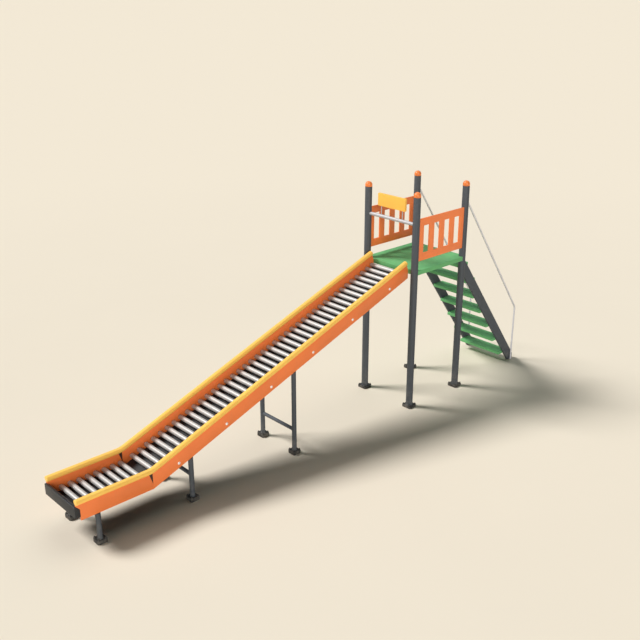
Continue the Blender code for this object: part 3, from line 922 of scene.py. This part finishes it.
class SLIDE_OT_deck(Undoable, bpy.types.Operator):
    """Model the deck plate with its rounded edges"""

    bl_idname = "slide.deck"
    bl_label = "Deck"

    def execute(self, context):
        begin(context)
        lay_plate("deck", "deck_plate", "green_deck", BOARD_EDGE, 3)
        return finished()


class SLIDE_OT_guards(Undoable, bpy.types.Operator):
    """Model the two slotted guards"""

    bl_idname = "slide.guards"
    bl_label = "Guards"

    def execute(self, context):
        size = begin(context)
        for side in SIDES:
            node = f"guard_{side}"
            lay_plate(node, f"{node}_sheet", "orange_panel", size.sheet_edge, 3)
        return finished()


class SLIDE_OT_entry_bar(Undoable, bpy.types.Operator):
    """Model the bar over the slide's entry, with the board's two rods"""

    bl_idname = "slide.entry_bar"
    bl_label = "Entry bar"

    def execute(self, context):
        begin(context)
        low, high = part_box("entry_bar")
        radius = (high.x - low.x) / 2
        x = low.x + radius
        bar_z = low.z + radius
        parts = [start_cylinder("entry_bar_tube", radius, high.y - low.y, (x, 0, bar_z), "Y", 36)]
        for sign in SIDES.values():
            y = sign * BOARD_ROD_Y
            middle = (x, y, (high.z + bar_z) / 2)
            parts.append(start_cylinder("rod", BOARD_ROD_RADIUS, high.z - bar_z, middle, sides=20))
            foot = (x, y, bar_z + radius * ROD_BEAD_SHARE)
            parts.append(start_ring("bead", BOARD_ROD_RADIUS + WELD_SINK, ROD_BEAD, foot, sides=20))
        dress(unite("entry_bar_tube", parts), "bar_steel", nodes=["entry_bar"])
        return finished()


class SLIDE_OT_board(Undoable, bpy.types.Operator):
    """Model the bare board over the entry"""

    bl_idname = "slide.board"
    bl_label = "Board"

    def execute(self, context):
        size = begin(context)
        low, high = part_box("sign_board")
        board = start_block("board_sheet", low, high)
        round_corners(board, 0, BOARD_CORNER)
        soften(board, size.sheet_edge, 3)
        dress(board, "yellow_board", nodes=["sign_board"])
        return finished()


class SLIDE_OT_top_tubes(Undoable, bpy.types.Operator):
    """Model the bent round tubes along the top of the slide's sides"""

    bl_idname = "slide.top_tubes"
    bl_label = "Top tubes"

    def execute(self, context):
        size = begin(context)
        radius = size.tube_radius
        slope = INCLINE.z / INCLINE.x
        for side in SIDES:
            node = f"top_tube_{side}"
            low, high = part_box(node)
            exit_z = low.z + radius
            end_x = high.x + radius * INCLINE_NORMAL.x
            end_z = high.z - radius * INCLINE_NORMAL.z
            knee_x = end_x - (end_z - exit_z) / slope
            tube = bent_bar(
                f"{node}_bent", (low.x, exit_z), (knee_x, exit_z), (end_x, end_z),
                (high.y + low.y) / 2, radius, size.tube_bend, 36, 16,
            )
            soften(tube, TUBE_EDGE, 3, 60)
            dress(tube, "yellow_tube", nodes=[node])
        return finished()


class SLIDE_OT_side_panels(Undoable, bpy.types.Operator):
    """Model the side panels under the tubes"""

    bl_idname = "slide.side_panels"
    bl_label = "Side panels"

    def execute(self, context):
        begin(context)
        for side in SIDES:
            for part in ("incline_panel", "exit_panel"):
                node = f"{part}_{side}"
                lay_plate(node, f"{node}_sheet", "orange_panel", PANEL_EDGE)
        return finished()


class SLIDE_OT_knee_wedges(Undoable, bpy.types.Operator):
    """Model the dark wedges let into the side panels at the knee: painted shade, standing for the shadowed
    gap at the panels' joint
    """

    bl_idname = "slide.knee_wedges"
    bl_label = "Knee wedges"

    def execute(self, context):
        size = begin(context)
        slant = Vector((size.wedge_height, 0, size.wedge_width)).normalized()
        for side, sign in SIDES.items():
            low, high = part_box(f"exit_panel_{side}")
            outer_y, inner_y = (low.y, high.y) if sign < 0 else (high.y, low.y)
            point = Vector((high.x, 0, high.z - size.wedge_height))
            cut = point + slant * WEDGE_SLANT_GAP
            for place, face_y, out in (("outer", outer_y, sign), ("inner", inner_y, -sign)):
                low_y, high_y = sorted(face_y - out * sink for sink in WEDGE_SINK)
                wedge = start_block(
                    f"knee_wedge_{side}_{place}",
                    (high.x - size.wedge_width, low_y, point.z),
                    (high.x - WEDGE_JOINT_GAP, high_y, high.z),
                )
                edit_all()
                bpy.ops.mesh.bisect(plane_co=cut, plane_no=slant, use_fill=True, clear_inner=True)
                leave_edit()
                soften(wedge, WEDGE_EDGE)
                # Painted shade: the wedge is near black to stand for the deep shadow in the gap at the
                # joint
                dress(wedge, "wedge_rubber")
        return finished()


class SLIDE_OT_trays(Undoable, bpy.types.Operator):
    """Model the trays under the rollers and the plate across the exit"""

    bl_idname = "slide.trays"
    bl_label = "Trays and exit plate"

    def execute(self, context):
        begin(context)
        for node in ("incline_tray", "exit_tray"):
            lay_plate(node, f"{node}_sheet", "dark_plate", TRAY_EDGE, 1)
        lay_plate("exit_plate", "exit_plate_sheet", "dark_plate", BOARD_EDGE, 3)
        return finished()


class SLIDE_OT_rollers(Undoable, bpy.types.Operator):
    """Model one roller and set a copy of it at every axis"""

    bl_idname = "slide.rollers"
    bl_label = "Rollers"

    def execute(self, context):
        size = begin(context)
        model = self.roller(size)
        for number in range(1, len(EXIT_ROLLERS) + 1):
            body = f"roller_e{number}"
            node = f"exit_roller_{number}"
            self.place(model, f"{node}_drum", node, JOINT_OF[body], body)
        for number in range(1, INCLINE_ROLLER_COUNT + 1):
            axis = LOW_AXIS + ROLLER_STEP * (number - 1)
            if number <= len(TURNING_ROLLERS):
                node = f"incline_roller_{number}"
                self.place(model, f"{node}_drum", node, axis, f"roller_i{number}")
            else:
                self.place(model, f"upper_roller_{number}", "incline_roller_bed", axis, BODY)
        drop(model)
        return finished()

    def place(self, model, name, node, axis, body):
        """A copy of the roller on an axis, in place of a solid and riding on its body."""
        piece = copy_piece(model, name, Matrix.Translation(axis))
        dress(piece, "roller_steel", body, [node], tidy=False)

    def roller(self, size):
        """A tube with turned rims, sunk plastic hubs and an axle, about the Y axis."""
        axle_end = node_size("exit_roller_1").y / 2
        inside = size.roller_radius - size.roller_wall
        roller = start_cylinder("roller_model", size.roller_radius, 2 * DRUM_HALF, (0, 0, 0), "Y", 36)
        for sign in SIDES.values():
            pick_faces(roller, lambda face: face.normal.y * sign > FACING)
            bpy.ops.mesh.inset(thickness=size.roller_wall)
            pull(y=-sign * RIM_SINK)
            bpy.ops.mesh.inset(thickness=HUB_RING)
            pull(y=sign * HUB_RISE)
            bpy.ops.mesh.inset(thickness=inside - HUB_RING - AXLE_RADIUS)
            pull(y=sign * (axle_end - DRUM_HALF + RIM_SINK - HUB_RISE))
            leave_edit()
        soften(roller, ROLLER_EDGE)
        roller.data.materials.append(finish("roller_steel"))
        roller.data.materials.append(finish("hub_plastic"))
        for face in roller.data.polygons:
            x, y, z = face.center
            at_end = abs(y) > DRUM_HALF - RIM_SINK - HUB_MARGINS[0]
            if at_end and AXLE_RADIUS + HUB_MARGINS[1] < math.hypot(x, z) < inside - HUB_MARGINS[2]:
                face.material_index = 1
        face_out(roller)
        return roller


class SLIDE_OT_legs(Undoable, bpy.types.Operator):
    """Model the legs under the slide with their crossbars and weld beads"""

    bl_idname = "slide.legs"
    bl_label = "Legs"

    def execute(self, context):
        size = begin(context)
        radius = size.leg_radius
        foot = size.leg_foot - WELD_SINK
        for node in LEG_FRAMES:
            low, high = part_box(node)
            x = (low.x + high.x) / 2
            level = node == "leg_frame_exit"
            bar_z = size.exit_crossbar_height if level else size.crossbar_height
            normal = Vector((0, 0, 1)) if level else INCLINE_NORMAL
            top_side = x if level else x + radius
            parts = []
            for _, sign, (_, y, _) in leg_middles(node):
                middle = (x, y, foot + LEG_STOCK / 2)
                leg = start_cylinder(f"{node}_leg", radius, LEG_STOCK, middle, sides=36)
                edit_all()
                bpy.ops.mesh.bisect(
                    plane_co=(top_side, y, high.z), plane_no=normal, use_fill=True, clear_outer=True
                )
                leave_edit()
                parts.append(leg)
                parts.append(start_ring("bead", radius, LEG_BEAD, (x, y, foot + BEAD_RISE), sides=36))
                bar_end = (x, y - sign * radius * CROSSBAR_BEAD_SHARE, bar_z)
                parts.append(start_ring("bead", size.crossbar_radius, CROSSBAR_BEAD, bar_end, "Y", 28))
            length = high.y - low.y - (high.x - low.x)
            parts.append(start_cylinder("bar", size.crossbar_radius, length, (x, 0, bar_z), "Y", 28))
            dress(unite(f"{node}_tubes", parts), "dark_steel", nodes=[node])
        return finished()


class SLIDE_OT_stair(Undoable, bpy.types.Operator):
    """Model the stair's stringers and treads"""

    bl_idname = "slide.stair"
    bl_label = "Stair"

    def execute(self, context):
        begin(context)
        for side in SIDES:
            node = f"stringer_{side}"
            lay_plate(node, f"{node}_plate", "dark_steel", BOARD_EDGE, 3)
        for node in TREADS:
            lay_plate(node, f"{node}_board", "green_deck", BOARD_EDGE, 3)
        return finished()


class SLIDE_OT_handrails(Undoable, bpy.types.Operator):
    """Model the bent handrails beside the stair"""

    bl_idname = "slide.handrails"
    bl_label = "Handrails"

    def execute(self, context):
        size = begin(context)
        radius = size.rail_radius
        for side in SIDES:
            node = f"handrail_{side}"
            low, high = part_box(node)
            lower_x = high.x - radius
            upper_x = node_middle(f"post_back_{side}").x + size.post_radius * RAIL_END_SHARE
            upper_z = size.rail_knee + (lower_x - upper_x) * math.tan(size.rail_slope)
            rail = bent_bar(
                f"{node}_bent", (upper_x, upper_z), (lower_x, size.rail_knee), (lower_x, RAIL_FLOOR_GAP),
                (low.y + high.y) / 2, radius, size.rail_bend, 24, 12,
            )
            # Painted light: the handrails take the paler copy of the stainless
            rail.data.materials.append(finish("rail_steel_painted_light"))
            dress(rail, "bar_steel", nodes=[node])
        return finished()


class SLIDE_OT_panel_bolts(Undoable, bpy.types.Operator):
    """Model the bright bolts on the outside of the side panels"""

    bl_idname = "slide.panel_bolts"
    bl_label = "Panel bolts"

    def execute(self, context):
        size = begin(context)
        model = model_button_bolt("panel_bolt_model")
        for side, sign in SIDES.items():
            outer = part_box(f"incline_panel_{side}")[0 if sign < 0 else 1].y
            turn = Matrix.Rotation(math.pi if sign > 0 else 0, 4, "Z")
            parts = []
            for index in range(size.panel_bolts):
                x = size.panel_bolt_first + index * size.panel_bolt_step
                on_axis = LOW_AXIS + INCLINE * ((x - LOW_AXIS.x) / INCLINE.x)
                place = on_axis - INCLINE_NORMAL * size.panel_bolt_drop
                shift = Matrix.Translation((place.x, outer, place.z))
                parts.append(copy_piece(model, "bolt", shift @ turn))
            dress(unite(f"panel_bolts_{side}", parts), "zinc", angle=40)
        drop(model)
        return finished()


class SLIDE_OT_stage(Undoable, bpy.types.Operator):
    """Set the pale floor, the soft lights and the camera"""

    bl_idname = "slide.stage"
    bl_label = "Studio"

    def execute(self, context):
        size = begin(context)
        scene = context.scene
        scene.view_settings.view_transform = "Standard"
        bpy.ops.mesh.primitive_circle_add(
            vertices=96, radius=FLOOR_RADIUS, fill_type="NGON", location=(0, 0, -FLOOR_DROP)
        )
        floor = settle(bpy.context.object, "studio_floor")
        floor.data.materials.append(studio_floor("studio_floor_paint", colours().floor))
        main = (size.sun_elevation, size.sun_heading, size.sun_spread)
        lamps = {"main_light": self.sun("main_light", *main, MAIN_POWER, MAIN_TINT)}
        for name, *degrees, power, tint in FILL_LIGHTS:
            angles = (math.radians(value) for value in degrees)
            lamps[name] = self.sun(name, *angles, power, tint)
        self.spare_floor(lamps["front_light"], floor)
        self.sky(scene)
        self.camera(scene)
        return finished()

    def sun(self, name, elevation, heading, spread_angle, power, tint):
        """A far lamp at a height and heading, whose spread softens its shadows."""
        lamp = bpy.data.lights.new(name, "SUN")
        lamp.energy = power
        lamp.color = tint
        lamp.angle = spread_angle
        obj = bpy.data.objects.new(name, lamp)
        obj.rotation_euler = (math.pi / 2 - elevation, 0, math.pi / 2 + heading)
        bpy.context.scene.collection.objects.link(obj)
        return obj

    def spare_floor(self, lamp, floor):
        """Lets the front light fall on the slide and not on the floor, so it throws no shadow there."""
        lit = bpy.data.collections.new("lit_from_the_front")
        for obj in bpy.context.scene.objects:
            if obj.type == "MESH" and obj != floor:
                lit.objects.link(obj)
        lamp.light_linking.receiver_collection = lit

    def sky(self, scene):
        """A dim even dome, brighter in reflections, which the camera sees as the floor's cream."""
        world = bpy.data.worlds.new("studio")
        scene.world = world
        world.use_nodes = True
        tree = world.node_tree
        path = add_node(tree, "ShaderNodeLightPath").outputs
        dome = blend(tree, path["Is Glossy Ray"], DOME, GLOSSY_DOME)
        tone = blend(tree, path["Is Camera Ray"], dome, shade(colours().floor, FLOOR_GLOW))
        tree.links.new(tone, tree.nodes["Background"].inputs["Color"])
        tree.nodes["Background"].inputs["Strength"].default_value = 1.0

    def camera(self, scene):
        """The photograph's view: place, heading and focal length were solved from the slide's corners."""
        lens = bpy.data.cameras.new("camera")
        lens.lens = CAMERA_LENS
        lens.sensor_width = 36.0
        lens.clip_end = 5 * FLOOR_RADIUS
        camera = bpy.data.objects.new("camera", lens)
        camera.location = CAMERA_PLACE
        camera.rotation_euler = (math.radians(90 - CAMERA_TILT), 0, math.radians(CAMERA_HEADING))
        scene.collection.objects.link(camera)
        scene.camera = camera


OPERATORS = (
    SLIDE_OT_posts, SLIDE_OT_post_feet, SLIDE_OT_anchor_bolts, SLIDE_OT_caps, SLIDE_OT_deck,
    SLIDE_OT_guards, SLIDE_OT_entry_bar, SLIDE_OT_board, SLIDE_OT_top_tubes, SLIDE_OT_side_panels,
    SLIDE_OT_knee_wedges, SLIDE_OT_trays, SLIDE_OT_rollers, SLIDE_OT_legs, SLIDE_OT_stair,
    SLIDE_OT_handrails, SLIDE_OT_panel_bolts, SLIDE_OT_stage,
)


class SLIDE_PT_panel(bpy.types.Panel):
    """Sidebar panel with the slide's sizes, colours and operators"""

    bl_idname = "SLIDE_PT_panel"
    bl_label = "Roller slide"
    bl_space_type = "VIEW_3D"
    bl_region_type = "UI"
    bl_category = "Roller slide"

    def draw(self, context):
        for group in (context.scene.slide_sizes, context.scene.slide_colours):
            for name in group.__annotations__:
                self.layout.prop(group, name)
        for operator in OPERATORS:
            self.layout.operator(operator.bl_idname)


CLASSES = (SlideSizes, SlideColours, *OPERATORS, SLIDE_PT_panel)


def register():
    for cls in CLASSES:
        bpy.utils.register_class(cls)
    bpy.types.Scene.slide_sizes = bpy.props.PointerProperty(type=SlideSizes)
    bpy.types.Scene.slide_colours = bpy.props.PointerProperty(type=SlideColours)


def unregister():
    del bpy.types.Scene.slide_colours
    del bpy.types.Scene.slide_sizes
    for cls in reversed(CLASSES):
        bpy.utils.unregister_class(cls)


def main():
    register()
    for operator in OPERATORS:
        group, name = operator.bl_idname.split(".")
        getattr(getattr(bpy.ops, group), name)()
    bpy.context.view_layer.update()


if __name__ == "__main__":
    main()
